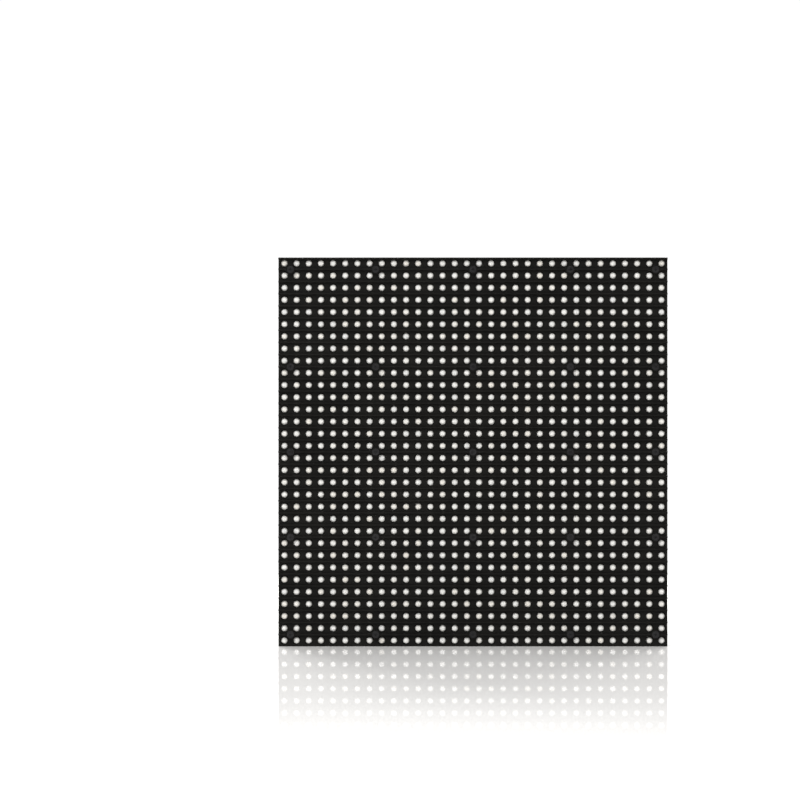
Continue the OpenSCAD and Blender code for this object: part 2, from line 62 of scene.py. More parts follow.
MM = 0.001
ROWS = 32
LEDS_LOW, LEDS_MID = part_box("leds_bottom_left")
LEDS_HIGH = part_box("leds_top_right")[1]
PITCH = (LEDS_HIGH.x - LEDS_MID.x) / (ROWS / 2)
LENS_DIAMETER = LEDS_HIGH.x - LEDS_LOW.x - (ROWS - 1) * PITCH
# How much wider a lens is made than its body in the frame, inside the gap that lies round it.
WIDENING = 0.18 * MM
BOARD_LOW, BOARD_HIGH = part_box("circuit_board")
BOARD_BACK = BOARD_HIGH.y
CENTRE_Z = (BOARD_LOW.z + BOARD_HIGH.z) / 2


def colour_property(name, description, default):
    """A colour that a user can change."""
    return FloatVectorProperty(
        name=name, description=description, subtype="COLOR", size=3, min=0, max=1, default=default
    )


def length_property(name, description, default):
    """A length in metres that a user can change."""
    return FloatProperty(
        name=name, description=description, default=default, min=0, precision=5, unit="LENGTH"
    )


def share_property(name, description, default):
    """A share from 0 to 1 that a user can change."""
    return FloatProperty(
        name=name, description=description, default=default, min=0, max=1, subtype="FACTOR"
    )


class LedSettings(bpy.types.PropertyGroup):
    """Sizes and colours of the LED lenses."""

    pitch: length_property("Pitch", "Distance between neighbouring LEDs", PITCH)
    diameter: length_property("Lens diameter", "Diameter of a lens", LENS_DIAMETER + WIDENING)
    dome: length_property("Dome", "Height of the domed end of a lens", 0.7 * MM)
    sides: IntProperty(name="Sides", description="Sides of a lens", default=20, min=8, max=32)
    seed: IntProperty(name="Seed", description="Seed of the lenses' small differences", default=7)
    white: colour_property("White", "Resin of a lens", (0.90, 0.892, 0.858))
    warm: colour_property("Warm", "Warmest tint of a lens", (0.86, 0.82, 0.74))
    cool: colour_property("Cool", "Coolest tint of a lens", (0.81, 0.815, 0.80))
    # This colour is painted shade: the grey a lens takes on towards its edge, where its dome turns from the
    # light and the mask's hole shades it.
    rim: colour_property("Rim", "Resin at the rim of a lens", (0.68, 0.665, 0.62))


class PlasticSettings(bpy.types.PropertyGroup):
    """Colours and textures of the moulded plastics."""

    mask: colour_property("Mask", "Plastic of the mask", (0.0070, 0.0066, 0.0056))
    case: colour_property("Case", "Plastic of the case", (0.0050, 0.0050, 0.0055))
    connector: colour_property("Connector", "Plastic of the headers", (0.012, 0.012, 0.013))
    chip: colour_property("Chip", "Moulding compound of the chips", (0.021, 0.016, 0.014))
    mask_roughness: share_property("Mask roughness", "Roughness of the mask", 0.62)
    case_roughness: share_property("Case roughness", "Roughness of the case", 0.18)
    grain: length_property("Grain", "Size of the moulded texture", 0.35 * MM)
    edge: length_property("Edge radius", "Radius of the moulded edges", 0.18 * MM)
    flange: length_property("Flange", "Height of the case's flange behind the board", 5 * MM)
    pocket: length_property("Pocket height", "Height of the pocket floors over the board", 8 * MM)
    post: length_property("Post radius", "Radius of a locating post", 2.6 * MM)


class BoardSettings(bpy.types.PropertyGroup):
    """Colours and sizes of the printed circuit board."""

    green: colour_property("Solder mask", "Green over bare board", (0.0012, 0.047, 0.015))
    copper_green: colour_property("Over copper", "Green over copper", (0.0014, 0.077, 0.0225))
    track_width: length_property("Track width", "Width of a copper track", 0.24 * MM)
    track_height: length_property("Track height", "Height of a track above the board", 0.03 * MM)
    via_diameter: length_property("Via", "Outer diameter of a via", 0.46 * MM)
    print_height: length_property("Print", "Height of the white print above the board", 0.04 * MM)
    print_width: length_property("Print line", "Width of a printed line", 0.16 * MM)
    print_white: colour_property("Print white", "White of the printed marks", (0.82, 0.83, 0.80))
    seed: IntProperty(name="Seed", description="Seed of the tracks' routes", default=11)


class MetalSettings(bpy.types.PropertyGroup):
    """Colours of the metals and the small parts."""

    brass: colour_property("Brass", "Threaded inserts", (0.27, 0.22, 0.135))
    bore: colour_property("Bore", "Brass inside the threaded bores", (0.25, 0.145, 0.042))
    tin: colour_property("Tin", "Leads and solder", (0.45, 0.45, 0.43))
    steel: colour_property("Screw steel", "Plated steel of the screws", (0.051, 0.050, 0.051))
    # Dull plating, made darker still as painted shade for the header's dark inside.
    pin_shade_tone: colour_property("Pin plating", "Plating of the header pins", (0.12, 0.105, 0.08))
    can: colour_property("Can", "Aluminium of the capacitor", (0.37, 0.37, 0.365))
    glass: colour_property("Diode", "Glass of the diodes", (0.26, 0.045, 0.030))
    ceramic: colour_property("Ceramic", "Bodies of the chip capacitors", (0.24, 0.17, 0.11))
    glaze: colour_property("Glaze", "Bodies of the resistors", (0.012, 0.012, 0.014))
    ink: colour_property("Can ink", "Sector on top of the can", (0.02, 0.02, 0.022))
    thread_pitch: length_property("Thread pitch", "Pitch of the inserts' thread", 0.7 * MM)
    thread_depth: length_property("Thread depth", "Depth of the inserts' thread", 0.32 * MM)


class StageSettings(bpy.types.PropertyGroup):
    """Camera, floor and light."""

    lens: FloatProperty(name="Lens", description="Focal length in millimetres", default=110)
    view_width: length_property("View width", "Width of the view at the mask", 0.394)
    floor: colour_property("Floor", "Colour of the floor", (0.93, 0.918, 0.902))
    mirror: share_property("Mirror", "Strength of the floor's reflection", 0.43)
    fade: length_property("Fade", "Distance over which the reflection fades", 0.70)
    cove_start: length_property("Cove start", "Where the floor starts to turn into the backdrop", 0.45)
    cove_end: length_property("Cove end", "Where the floor has become the backdrop", 0.8)
    backdrop: FloatProperty(
        name="Backdrop", description="Brightness of the backdrop where it is seen", default=1.02, min=0
    )
    shift: FloatVectorProperty(
        name="Shift", description="Shift of the view, in widths of the view", size=2,
        default=(-0.0912, 0.0649)
    )


# ---- Materials ----

CLOUD_SCALE = 42.0  # slow changes of tone across a moulding, for each metre


def add(tree, kind, inputs=None, **properties):
    """A new node with its properties set, and its inputs set or linked."""
    node = tree.nodes.new(kind)
    for name, value in properties.items():
        setattr(node, name, value)
    for key, value in (inputs or {}).items():
        if isinstance(value, bpy.types.NodeSocket):
            tree.links.new(value, node.inputs[key])
        else:
            node.inputs[key].default_value = value
    return node


def rgba(colour):
    """A colour with an alpha of 1."""
    return (*colour, 1.0)


def scaled(colour, share):
    """A colour that many times as bright, up to white."""
    return tuple(min(1, c * share) for c in colour)


def calc(tree, operation, *values):
    """The result of a Math node."""
    return add(tree, "ShaderNodeMath", dict(enumerate(values)), operation=operation).outputs[0]


def blend_colours(tree, factor, first, second):
    """A mix of two colours, each a socket or an (r, g, b)."""
    inputs = {0: factor}
    for key, value in ((6, first), (7, second)):
        inputs[key] = value if isinstance(value, bpy.types.NodeSocket) else rgba(value)
    return add(tree, "ShaderNodeMix", inputs, data_type="RGBA").outputs[2]


def layered(tree, base, *layers):
    """A base colour under layers, each a pattern, the share of it that covers, and a colour."""
    for pattern, share, colour in layers:
        base = blend_colours(tree, calc(tree, "MULTIPLY", pattern, share), base, colour)
    return base


def noise(tree, where, scale, detail=2.0):
    """A noise pattern from 0 to 1."""
    inputs = {"Vector": where, "Scale": scale, "Detail": detail}
    return add(tree, "ShaderNodeTexNoise", inputs).outputs["Fac"]


def ramp(tree, value, low, high, start=0.0, end=1.0):
    """value from low..high spread over start..end, and held there."""
    inputs = {0: value, 1: low, 2: high, 3: start, 4: end}
    return add(tree, "ShaderNodeMapRange", inputs, clamp=True).outputs[0]


def spread(tree, pattern, start=0.0, end=1.0):
    """A noise pattern over start..end: nearly all of it lies from 0.3 to 0.7."""
    return ramp(tree, pattern, 0.3, 0.7, start, end)


def near(tree, value, place, width, soft):
    """1 where value is within width of place, falling to 0 over soft."""
    gap = calc(tree, "ABSOLUTE", calc(tree, "SUBTRACT", value, place))
    return ramp(tree, gap, width, width + soft, 1.0, 0.0)


def attribute(tree, name):
    """The number that a mesh holds under that name."""
    return add(tree, "ShaderNodeAttribute", attribute_name=name).outputs["Fac"]


def new_material(name, colour, **sockets):
    """A material with plain values on its shader, its tree, that shader and its Object coordinates."""
    material = bpy.data.materials.new(name)
    material.use_nodes = True
    tree = material.node_tree
    shader = tree.nodes["Principled BSDF"]
    shader.inputs["Base Color"].default_value = rgba(colour)
    for key, value in sockets.items():
        shader.inputs[key.replace("_", " ")].default_value = value
    where = add(tree, "ShaderNodeTexCoord").outputs["Object"]
    return material, tree, shader, where


def feeding(shader, key):
    """The socket that is linked to one of the shader's inputs."""
    return shader.inputs[key].links[0].from_socket


def dress(tree, shader, tone, rough):
    """Feeds a colour and a roughness to the shader."""
    tree.links.new(tone, shader.inputs["Base Color"])
    tree.links.new(rough, shader.inputs["Roughness"])


def bump(tree, shader, height, distance, strength=1.0, normal=None):
    """Feeds a height pattern to the shader's normal."""
    inputs = {"Height": height, "Distance": distance, "Strength": strength}
    if normal is not None:
        inputs["Normal"] = normal
    tree.links.new(add(tree, "ShaderNodeBump", inputs).outputs[0], shader.inputs["Normal"])


def moulded(name, colour, roughness, grain, edge, specular=0.5, lift=1.35, depth=0.02 * MM):
    """Moulded plastic: cloudy tone, spark-eroded grain, and edges that are rounded a little."""
    material, tree, shader, where = new_material(name, colour, Specular_IOR_Level=specular)
    cloud = noise(tree, where, CLOUD_SCALE, 3.0)
    fine = noise(tree, where, 1 / grain)
    tone = blend_colours(tree, spread(tree, cloud), scaled(colour, 1 / lift), scaled(colour, lift))
    rough = calc(tree, "ADD", spread(tree, cloud, roughness - 0.05, roughness + 0.05),
                 spread(tree, fine, -0.04, 0.04))
    dress(tree, shader, tone, rough)
    rounded = add(tree, "ShaderNodeBevel", {"Radius": edge}, samples=4).outputs[0]
    bump(tree, shader, fine, depth, normal=rounded)
    return material


def plated(name, colour, roughness, streak=900.0):
    """Metal with small differences in its shine and fine marks on it."""
    material, tree, shader, where = new_material(name, colour, Metallic=1.0)
    cloud = noise(tree, where, streak / 3)
    marks = noise(tree, where, streak * 4)
    tone = blend_colours(tree, spread(tree, cloud), scaled(colour, 0.82), colour)
    dress(tree, shader, tone, spread(tree, cloud, roughness - 0.06, roughness + 0.08))
    bump(tree, shader, marks, 0.004 * MM)
    return material


def brass_material(settings):
    """Turned brass, browner and duller inside the bores."""
    material = plated("turned_brass", settings.brass, 0.34, 1500.0)
    tree = material.node_tree
    shader = tree.nodes["Principled BSDF"]
    bore = attribute(tree, "bore")
    tone = blend_colours(tree, bore, feeding(shader, "Base Color"), settings.bore)
    rough = calc(tree, "ADD", feeding(shader, "Roughness"), calc(tree, "MULTIPLY", bore, 0.2))
    dress(tree, shader, tone, rough)
    tree.links.new(ramp(tree, bore, 0.0, 1.0, 1.0, 0.3), shader.inputs["Metallic"])
    return material


def cased(name, colour, roughness, lift=1.25, specular=0.5, scale=1400.0):
    """A small part's body: glaze, ceramic, glass or moulding compound with a fine mottle."""
    material, tree, shader, where = new_material(name, colour, Specular_IOR_Level=specular)
    mottle = noise(tree, where, scale, 3.0)
    tone = blend_colours(tree, spread(tree, mottle), scaled(colour, 1 / lift), scaled(colour, lift))
    dress(tree, shader, tone, spread(tree, mottle, roughness - 0.06, roughness + 0.06))
    bump(tree, shader, mottle, 0.008 * MM)
    return material


def lens_material(settings):
    """Milky resin, each lens a little different, greyed towards its edge by painted shade."""
    material, tree, shader, where = new_material("lens_resin", settings.white, IOR=1.48)
    tint, rim = attribute(tree, "tint"), attribute(tree, "rim")
    tone = layered(
        tree, settings.white,
        (ramp(tree, tint, 0.0, 0.35, 1.0, 0.0), 1.0, settings.warm),
        (ramp(tree, tint, 0.72, 1.0), 1.0, settings.cool),
        # Painted shade: each lens greys towards its edge, as its dome turns from the light and the mask's
        # hole shades it.
        (ramp(tree, rim, 0.4, 1.0), 0.8, settings.rim),
    )
    haze = noise(tree, where, 1800.0)
    dress(tree, shader, tone, spread(tree, haze, 0.42, 0.52))
    bump(tree, shader, haze, 0.001 * MM)
    return material


def far_from(tree, axes, x, z):
    """The distance from the line along Y at (x, z), from separate coordinates."""
    off_x, off_z = calc(tree, "SUBTRACT", axes["X"], x), calc(tree, "SUBTRACT", axes["Z"], z)
    squares = calc(tree, "ADD", calc(tree, "POWER", off_x, 2.0), calc(tree, "POWER", off_z, 2.0))
    return calc(tree, "SQRT", squares)


def post_axes():
    """The (x, z) of each locating post, from the tips that stand furthest back."""
    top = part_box("bottom_case")[1].y
    tips = [v.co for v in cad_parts["bottom_case"].data.vertices if v.co.y > top - 0.5 * MM]
    axes = []
    for way in (-1, 1):
        own = [tip for tip in tips if tip.x * way > 0]
        axes.append([(min(tip[k] for tip in own) + max(tip[k] for tip in own)) / 2 for k in (0, 2)])
    return axes


def case_material(settings):
    """Satin plastic: darker and duller on the flange, paler in the pockets, blackest on the posts."""
    material = moulded("case_plastic", settings.case, settings.case_roughness, settings.grain * 1.6,
                       settings.edge, specular=0.4, lift=1.3, depth=0.004 * MM)
    tree = material.node_tree
    shader = tree.nodes["Principled BSDF"]
    where = tree.nodes["Texture Coordinate"].outputs["Object"]
    axes = add(tree, "ShaderNodeSeparateXYZ", {0: where}).outputs
    flange_y = BOARD_BACK + settings.flange
    low = ramp(tree, axes["Y"], flange_y + 0.1 * MM, flange_y + 0.3 * MM, 1.0, 0.0)
    pocket = near(tree, axes["Y"], BOARD_BACK + settings.pocket, 0.2 * MM, 0.1 * MM)
    posts = 0.0
    for x, z in post_axes():
        own = ramp(tree, far_from(tree, axes, x, z), settings.post, settings.post + 0.15 * MM, 1.0, 0.0)
        posts = calc(tree, "MAXIMUM", posts, own)
    tone = layered(
        tree, feeding(shader, "Base Color"),
        (low, 0.6, scaled(settings.case, 0.35)),
        (pocket, 1.0, scaled(settings.case, 3.2)),
        (posts, 1.0, (0.0025, 0.004, 0.004)),
    )
    rough = calc(tree, "ADD", feeding(shader, "Roughness"), calc(tree, "MULTIPLY", low, 0.35))
    rough = calc(tree, "SUBTRACT", rough, calc(tree, "MULTIPLY", posts, 0.1))
    dress(tree, shader, tone, rough)
    return material


def banded(tree, where, scale, low, high):
    """1 in long level bands and 0 between them, with noise of that scale."""
    along = add(tree, "ShaderNodeMapping", {"Vector": where, "Scale": scale}).outputs[0]
    return ramp(tree, noise(tree, along, 1.0, 1.5), low, high)


def board_material(settings, pitch):
    """Green solder mask over a board: pours, row tracks and the vias behind every LED."""
    material, tree, shader, where = new_material(
        "solder_mask", settings.green, IOR=1.5, Specular_IOR_Level=0.2)
    axes = add(tree, "ShaderNodeSeparateXYZ", {0: where}).outputs
    across = calc(tree, "PINGPONG", axes["X"], pitch / 2)
    up = calc(tree, "PINGPONG", calc(tree, "SUBTRACT", axes["Z"], CENTRE_Z), pitch / 2)
    poured = banded(tree, where, (40, 0, 260), 0.49, 0.52)
    routed = banded(tree, where, (26, 0, 150), 0.47, 0.49)
    streaks = banded(tree, where, (16, 0, 520), 0.5, 0.6)
    shade = banded(tree, where, (34, 0, 340), 0.52, 0.66)
    lines = 0.0
    for place in (0.62 * MM, 1.22 * MM, 1.78 * MM):
        lines = calc(tree, "MAXIMUM", lines, near(tree, up, place, 0.11 * MM, 0.03 * MM))
    copper = calc(tree, "MAXIMUM", poured, calc(tree, "MULTIPLY", routed, lines))
    from_via = far_from(tree, {"X": across, "Z": up}, 1.7 * MM, 2.35 * MM)
    ring = ramp(tree, from_via, 0.26 * MM, 0.30 * MM, 1.0, 0.0)
    hole = ramp(tree, from_via, 0.11 * MM, 0.14 * MM, 1.0, 0.0)
    cloud = noise(tree, where, 75.0, 3.0)
    tone = layered(
        tree, settings.green,
        (copper, 1.0, settings.copper_green),
        (streaks, 0.45, (0.002, 0.15, 0.044)),
        (shade, 0.45, (0.008, 0.03, 0.013)),
        (ramp(tree, cloud, 0.4, 0.75), 0.2, (0.008, 0.085, 0.034)),
        (ring, 0.3, (0.06, 0.22, 0.10)),
        (hole, 1.0, (0.01, 0.03, 0.015)),
    )
    rough = calc(tree, "ADD", spread(tree, cloud, 0.17, 0.27), calc(tree, "MULTIPLY", copper, -0.06))
    dress(tree, shader, tone, rough)
    height = calc(tree, "SUBTRACT", calc(tree, "ADD", copper, ring), calc(tree, "MULTIPLY", hole, 2.0))
    bump(tree, shader, height, 0.03 * MM, 0.8)
    return material


# ---- Meshes ----


def new_object(name, mesh):
    """A new object in the scene, at the origin."""
    piece = bpy.data.objects.new(name, mesh)
    bpy.context.scene.collection.objects.link(piece)
    return piece


def mesh_from(name, points, faces):
    """A flat-shaded mesh whose faces all point outwards."""
    mesh = bpy.data.meshes.new(name)
    mesh.from_pydata([tuple(p) for p in points], [], [tuple(f) for f in faces])
    shape = bmesh.new()
    shape.from_mesh(mesh)
    bmesh.ops.recalc_face_normals(shape, faces=shape.faces)
    shape.to_mesh(mesh)
    shape.free()
    return mesh


def skinned(rings):
    """Points and faces of a shape through rings of equally many points, closed by flat ends."""
    sides = len(rings[0])
    last = (len(rings) - 1) * sides
    faces = []
    for ring in range(0, last, sides):
        for k in range(sides):
            a, b = ring + k, ring + (k + 1) % sides
            faces.append((a, b, b + sides, a + sides))
    faces += [tuple(range(sides)), tuple(range(last, last + sides))]
    return [point for ring in rings for point in ring], faces


def turned(profile, sides):
    """Points and faces of a shape turned round Y from (radius, y) pairs."""
    angles = [2 * math.pi * k / sides for k in range(sides)]
    return skinned([[(r * math.cos(a), y, r * math.sin(a)) for a in angles] for r, y in profile])


def plate(outline, y0, y1):
    """Points and faces of a flat plate with an (x, z) outline."""
    return skinned([[(x, y, z) for x, z in outline] for y in (y0, y1)])


def joined(shapes):
    """Several (points, faces) as one."""
    points, faces = [], []
    for own_points, own_faces in shapes:
        faces += [tuple(i + len(points) for i in face) for face in own_faces]
        points += own_points
    return points, faces


def solids(node):
    """The lowest and highest corner of each separate solid of a CAD node."""
    shape = bmesh.new()
    shape.from_mesh(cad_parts[node].data)
    bmesh.ops.remove_doubles(shape, verts=shape.verts, dist=1e-6)
    left, found = set(shape.verts), []
    for first in shape.verts:
        if first not in left:
            continue
        left.discard(first)
        members, waiting = [], [first]
        while waiting:
            vertex = waiting.pop()
            members.append(vertex.co[:])
            for edge in vertex.link_edges:
                other = edge.other_vert(vertex)
                if other in left:
                    left.discard(other)
                    waiting.append(other)
        corners = np.array(members)
        found.append((Vector(corners.min(0)), Vector(corners.max(0))))
    shape.free()
    return found


# ---- Geometry Nodes ----


def geometry_tree(name, inputs):
    """A Geometry Nodes tree with named inputs, and its input and output nodes."""
    tree = bpy.data.node_groups.new(name, "GeometryNodeTree")
    tree.is_modifier = True
    tree.interface.new_socket("Geometry", in_out="INPUT", socket_type="NodeSocketGeometry")
    for label, kind in inputs:
        tree.interface.new_socket(label, in_out="INPUT", socket_type=f"NodeSocket{kind}")
    tree.interface.new_socket("Geometry", in_out="OUTPUT", socket_type="NodeSocketGeometry")
    return tree, tree.nodes.new("NodeGroupInput").outputs, tree.nodes.new("NodeGroupOutput").inputs


def close_tree(tree, geometry, material, result):
    """Ends a tree in Realize Instances and Set Material."""
    real = add(tree, "GeometryNodeRealizeInstances", {0: geometry}).outputs[0]
    done = add(tree, "GeometryNodeSetMaterial", {"Geometry": real, "Material": material})
    tree.links.new(done.outputs[0], result[0])


def grown(name, mesh, tree, values):
    """The plain mesh object that a tree makes from mesh with those input values."""
    base = new_object(name + "_base", mesh)
    modifier = base.modifiers.new(tree.name, "NODES")
    modifier.node_group = tree
    names = {
        item.name: item.identifier
        for item in tree.interface.items_tree
        if item.in_out == "INPUT"
    }
    for label, value in values.items():
        modifier[names[label]] = value
    bpy.context.view_layer.update()
    graph = bpy.context.evaluated_depsgraph_get()
    result = bpy.data.meshes.new_from_object(base.evaluated_get(graph), depsgraph=graph)
    result.name = name
    base.modifiers.remove(modifier)
    bpy.data.objects.remove(base)
    if not result.polygons:
        raise RuntimeError(f"{name} came out empty")
    return new_object(name, result)


def field_tree():
    """A grid of lenses, each with its own tint."""
    tree, given, result = geometry_tree("Lens field", [
        ("Lens", "Object"), ("Columns", "Int"), ("Rows", "Int"), ("Pitch", "Float"),
        ("Centre", "Vector"), ("Seed", "Int"), ("Material", "Material"),
    ])
    width, height = (
        calc(tree, "MULTIPLY", calc(tree, "SUBTRACT", given[side], 1.0), given["Pitch"])
        for side in ("Columns", "Rows")
    )
    grid = add(tree, "GeometryNodeMeshGrid", {
        "Size X": width, "Size Y": height, "Vertices X": given["Columns"], "Vertices Y": given["Rows"]})
    upright = add(tree, "GeometryNodeTransform", {
        "Geometry": grid.outputs["Mesh"], "Rotation": (math.pi / 2, 0, 0), "Translation": given["Centre"]})
    lens = add(tree, "GeometryNodeObjectInfo", {"Object": given["Lens"]})
    placed = add(tree, "GeometryNodeInstanceOnPoints", {
        "Points": upright.outputs[0], "Instance": lens.outputs["Geometry"]})
    chance = add(tree, "FunctionNodeRandomValue", {"Seed": given["Seed"]}, data_type="FLOAT")
    tinted = add(tree, "GeometryNodeStoreNamedAttribute", {
        "Geometry": placed.outputs[0], "Name": "tint", "Value": chance.outputs[1]},
        data_type="FLOAT", domain="INSTANCE")
    close_tree(tree, tinted.outputs[0], given["Material"], result)
    return tree


def sweep_tree():
    """Flat strips along lines drawn in X and Y, stood upright at a depth."""
    tree, given, result = geometry_tree("Flat strips", [
        ("Width", "Float"), ("Thickness", "Float"), ("Depth", "Float"), ("Material", "Material"),
    ])
    lines = add(tree, "GeometryNodeMeshToCurve", {"Mesh": given["Geometry"]})
    level = add(tree, "GeometryNodeSetCurveNormal", {"Curve": lines.outputs[0]}, mode="Z_UP")
    section = add(tree, "GeometryNodeCurvePrimitiveQuadrilateral", {
        "Width": given["Width"], "Height": given["Thickness"]})
    strip = add(tree, "GeometryNodeCurveToMesh", {
        "Curve": level.outputs[0], "Profile Curve": section.outputs[0], "Fill Caps": True})
    flat = add(tree, "GeometryNodeSetShadeSmooth", {"Geometry": strip.outputs[0], "Shade Smooth": False})
    depth = add(tree, "ShaderNodeCombineXYZ", {"Y": given["Depth"]})
    upright = add(tree, "GeometryNodeTransform", {
        "Geometry": flat.outputs[0], "Rotation": (math.pi / 2, 0, 0), "Translation": depth.outputs[0]})
    close_tree(tree, upright.outputs[0], given["Material"], result)
    return tree


def cluster_tree():
    """One shape at every point, scaled by the point's own size."""
    tree, given, result = geometry_tree("Cluster", [("Shape", "Object"), ("Material", "Material")])
    points = add(tree, "GeometryNodeMeshToPoints", {"Mesh": given["Geometry"]})
    shape = add(tree, "GeometryNodeObjectInfo", {"Object": given["Shape"]})
    size = add(tree, "GeometryNodeInputNamedAttribute", {"Name": "size"}, data_type="FLOAT_VECTOR")
    placed = add(tree, "GeometryNodeInstanceOnPoints", {
        "Points": points.outputs[0], "Instance": shape.outputs["Geometry"], "Scale": size.outputs[0]})
    close_tree(tree, placed.outputs[0], given["Material"], result)
    return tree


def strips(name, lines, width, thickness, depth, material):
    """Flat strips along (x, z) lines, a closed one where it ends where it starts."""
    points, edges = [], []
    for line in lines:
        closed = line[0] == line[-1]
        own = line[:-1] if closed else line
        start = len(points)
        points += [(x, z, 0) for x, z in own]
        edges += [(start + k, start + k + 1) for k in range(len(own) - 1)]
        if closed:
            edges.append((start + len(own) - 1, start))
    mesh = bpy.data.meshes.new(name + "_lines")
    mesh.from_pydata(points, edges, [])
    values = {"Width": width, "Thickness": thickness, "Depth": depth, "Material": material}
    return grown(name, mesh, sweep_tree(), values)


def cluster(name, shape, places, material):
    """A copy of shape at each (point, size)."""
    mesh = bpy.data.meshes.new(name + "_points")
    mesh.from_pydata([tuple(point) for point, _ in places], [], [])
    sizes = mesh.attributes.new("size", "FLOAT_VECTOR", "POINT")
    sizes.data.foreach_set("vector", [side for _, size in places for side in size])
    pattern = new_object(name + "_shape", mesh_from(name + "_shape", *shape))
    piece = grown(name, mesh, cluster_tree(), {"Shape": pattern, "Material": material})
    bpy.data.objects.remove(pattern)
    return piece


def finish_piece(piece, slot, *nodes):
    """Sets a piece on the body, and hides the CAD nodes that it stands for. The slot is not used."""
    if nodes:
        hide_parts(*nodes)
    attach(piece, "root")


def paint(material, *nodes):
    """Gives CAD nodes a material."""
    for node in nodes:
        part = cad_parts[node]
        if not part.material_slots:
            part.data.materials.append(material)
        for slot in part.material_slots:
            slot.material = material


# ---- Layout of the board ----


def lead_feet():
    """Every chip lead's outer end on the board, with the way that it points: (x, z, way x, way z)."""
    feet = []
    for chips, leads in (("led_drivers", "led_driver_leads"), ("row_switches", "row_switch_leads"),
                         ("signal_buffers", "signal_buffer_leads"), ("row_decoder", "row_decoder_leads")):
        centres = [(low + high) / 2 for low, high in solids(chips)]
        for low, high in solids(leads):
            middle = (low + high) / 2
            own = min(centres, key=lambda c: (c - middle).length_squared)
            if high.x - low.x > high.z - low.z:
                way = 1 if middle.x > own.x else -1
                feet.append((high.x if way > 0 else low.x, middle.z, way, 0))
            else:
                way = 1 if middle.z > own.z else -1
                feet.append((middle.x, high.z if way > 0 else low.z, 0, way))
    return feet


def pin_feet():
    """The outer ends of the header pins and the power pins, with their way along X."""
    feet = []
    for node in ("data_in_pins", "data_out_pins", "power_pins"):
        low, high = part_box(node)
        centre = (low.x + high.x) / 2
        for own_low, own_high in solids(node):
            z = (own_low.z + own_high.z) / 2
            if own_high.x > centre + MM:
                feet.append((own_high.x, z, 1, 0))
            if own_low.x < centre - MM:
                feet.append((own_low.x, z, -1, 0))
    return feet


def filter_places():
    """Where the filter parts beside the buffers stand: (x, z) of the capacitors, and of the resistors."""
    buffers = [(low + high) / 2 for low, high in solids("signal_buffers")]
    lower, upper = sorted(buffers, key=lambda middle: middle.z)
    first, gap = 5.6, 2.4
    capacitors = [(upper, first, -6.2), (upper, first + gap, -6.2)]
    capacitors += [(lower, -gap / 2, -8.4), (lower, gap / 2, -8.4)]
    resistors = [(upper, first + k * gap, -2.4) for k in range(4)]
    resistors += [(lower, first + k * gap, -3.2) for k in range(6)]
    return [[(c.x + x * MM, c.z + z * MM) for c, x, z in kind] for kind in (capacitors, resistors)]


def filter_boxes(node, places):
    """The boxes of the bodies and end caps of parts like the first of that node, at those places."""
    low, high = solids(node)[0]
    middle = (low + high) / 2
    caps = sorted(solids("chip_terminals"), key=lambda box: ((box[0] + box[1]) / 2 - middle).length)[:2]
    moves = [Vector((x - middle.x, 0, z - middle.z)) for x, z in places]
    bodies = [(low + move, high + move) for move in moves]
    return bodies, [(a + move, b + move) for move in moves for a, b in caps]


def filter_parts():
    """The boxes of the filter capacitors' bodies, the resistors' bodies and all their end caps."""
    capacitors, resistors = filter_places()
    capacitor_bodies, capacitor_caps = filter_boxes("chip_capacitors", capacitors)
    resistor_bodies, resistor_caps = filter_boxes("chip_resistors", resistors)
    return capacitor_bodies, resistor_bodies, capacitor_caps + resistor_caps


def end_boxes():
    """The end caps of the small parts."""
    return solids("chip_terminals") + solids("resistor_array_terminals") + filter_parts()[2]


# ---- Pieces ----


class MakeLeds(bpy.types.Operator):
    """Makes the domed white lenses of all the LEDs"""

    bl_idname = "led_module.make_leds"
    bl_label = "LEDs"

    def execute(self, context):
        settings = context.scene.led_leds
        radius = settings.diameter / 2
        ball = (radius**2 + settings.dome**2) / (2 * settings.dome)
        steps = (0.38, 0.74, 1.0)
        profile = [(radius * s, ball - math.sqrt(ball**2 - (radius * s) ** 2)) for s in steps]
        profile.append((radius, LEDS_MID.y - LEDS_LOW.y))
        mesh = mesh_from("lens", *turned(profile, settings.sides))
        # Only the dome is smooth: its side and its back stay flat.
        for face in mesh.polygons:
            face.use_smooth = abs(face.normal.y) > 0.05 and face.normal.y < 0.5
        # Each ring's share of the lens radius, which sets how much painted shade greys the lens there.
        shares = [s for s in (*steps, 1.0) for _ in range(settings.sides)]
        mesh.attributes.new("rim", "FLOAT", "POINT").data.foreach_set("value", shares)
        lens = new_object("lens", mesh)
        material = lens_material(settings)
        piece = grown("leds", bpy.data.meshes.new("none"), field_tree(), {
            "Lens": lens, "Columns": ROWS, "Rows": ROWS, "Pitch": settings.pitch,
            "Centre": (0, LEDS_LOW.y, CENTRE_Z), "Seed": settings.seed, "Material": material})
        bpy.data.objects.remove(lens)
        finish_piece(piece, "led_lens", "leds_top_left", "leds_top_right",
                     "leds_bottom_left", "leds_bottom_right")
        return {"FINISHED"}


class FinishMask(bpy.types.Operator):
    """Gives the mask and its screws their finishes"""

    bl_idname = "led_module.finish_mask"
    bl_label = "Mask and screws"

    def execute(self, context):
        plastics, metals = context.scene.led_plastics, context.scene.led_metals
        paint(moulded("mask_plastic", plastics.mask, plastics.mask_roughness, plastics.grain,
                      0.1 * MM, specular=0.12), "mask")
        paint(plated("screw_steel", metals.steel, 0.45), "mask_screws")
        return {"FINISHED"}


class FinishCase(bpy.types.Operator):
    """Gives the bottom case its moulded finish"""

    bl_idname = "led_module.finish_case"
    bl_label = "Case"

    def execute(self, context):
        paint(case_material(context.scene.led_plastics), "bottom_case")
        return {"FINISHED"}


